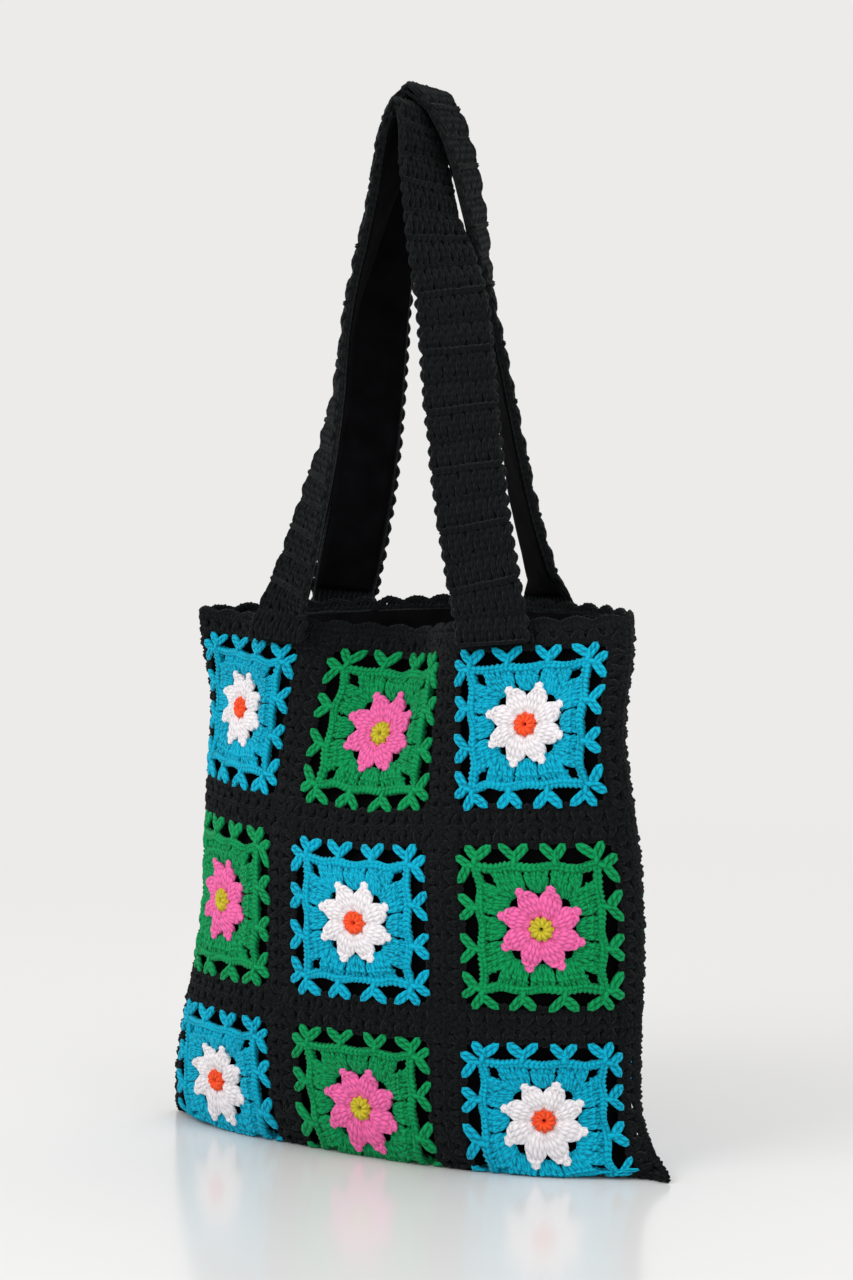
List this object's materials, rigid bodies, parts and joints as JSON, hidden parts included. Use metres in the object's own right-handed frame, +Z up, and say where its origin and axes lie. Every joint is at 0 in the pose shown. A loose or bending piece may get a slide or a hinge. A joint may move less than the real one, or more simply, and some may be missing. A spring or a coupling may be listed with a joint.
{
  "type": "crochet tote bag",
  "caption": "Lined tote bag of crocheted flower granny squares joined in black, with two flat shoulder straps.",
  "frame": {"origin": "on the floor, in the middle of the bag's outline seen from above", "axes": "+Z up through the straps, -Y out of the front panel, +X to the right across the front panel"},
  "size_m": [0.353, 0.1422, 0.6434],
  "materials": {
    "turquoise_yarn": "matte crocheted yarn",
    "green_yarn": "matte crocheted yarn",
    "white_yarn": "matte crocheted yarn",
    "pink_yarn": "matte crocheted yarn",
    "orange_yarn": "matte crocheted yarn",
    "olive_yarn": "matte crocheted yarn",
    "black_yarn": "matte, slightly fuzzy crocheted yarn",
    "lining_cloth": "plain woven cloth, slight sheen"
  },
  "bodies": {
    "root": {"front_square_r1c1": "turquoise_yarn", "front_flower_r1c1": "white_yarn", "front_centre_r1c1": "orange_yarn", "front_square_r1c2": "green_yarn", "front_flower_r1c2": "pink_yarn", "front_centre_r1c2": "olive_yarn", "front_square_r1c3": "turquoise_yarn", "front_flower_r1c3": "white_yarn", "front_centre_r1c3": "orange_yarn", "front_square_r2c1": "green_yarn", "front_flower_r2c1": "pink_yarn", "front_centre_r2c1": "olive_yarn", "front_square_r2c2": "turquoise_yarn", "front_flower_r2c2": "white_yarn", "front_centre_r2c2": "orange_yarn", "front_square_r2c3": "green_yarn", "front_flower_r2c3": "pink_yarn", "front_centre_r2c3": "olive_yarn", "front_square_r3c1": "turquoise_yarn", "front_flower_r3c1": "white_yarn", "front_centre_r3c1": "orange_yarn", "front_square_r3c2": "green_yarn", "front_flower_r3c2": "pink_yarn", "front_centre_r3c2": "olive_yarn", "front_square_r3c3": "turquoise_yarn", "front_flower_r3c3": "white_yarn", "front_centre_r3c3": "orange_yarn", "back_square_r1c1": "turquoise_yarn", "back_flower_r1c1": "white_yarn", "back_centre_r1c1": "orange_yarn", "back_square_r1c2": "green_yarn", "back_flower_r1c2": "pink_yarn", "back_centre_r1c2": "olive_yarn", "back_square_r1c3": "turquoise_yarn", "back_flower_r1c3": "white_yarn", "back_centre_r1c3": "orange_yarn", "back_square_r2c1": "green_yarn", "back_flower_r2c1": "pink_yarn", "back_centre_r2c1": "olive_yarn", "back_square_r2c2": "turquoise_yarn", "back_flower_r2c2": "white_yarn", "back_centre_r2c2": "orange_yarn", "back_square_r2c3": "green_yarn", "back_flower_r2c3": "pink_yarn", "back_centre_r2c3": "olive_yarn", "back_square_r3c1": "turquoise_yarn", "back_flower_r3c1": "white_yarn", "back_centre_r3c1": "orange_yarn", "back_square_r3c2": "green_yarn", "back_flower_r3c2": "pink_yarn", "back_centre_r3c2": "olive_yarn", "back_square_r3c3": "turquoise_yarn", "back_flower_r3c3": "white_yarn", "back_centre_r3c3": "orange_yarn", "black_net": "black_yarn", "bag_lining": "lining_cloth", "strap_front": "black_yarn", "strap_back": "black_yarn", "strap_lining_front": "lining_cloth", "strap_lining_back": "lining_cloth"}
  },
  "joints": []
}
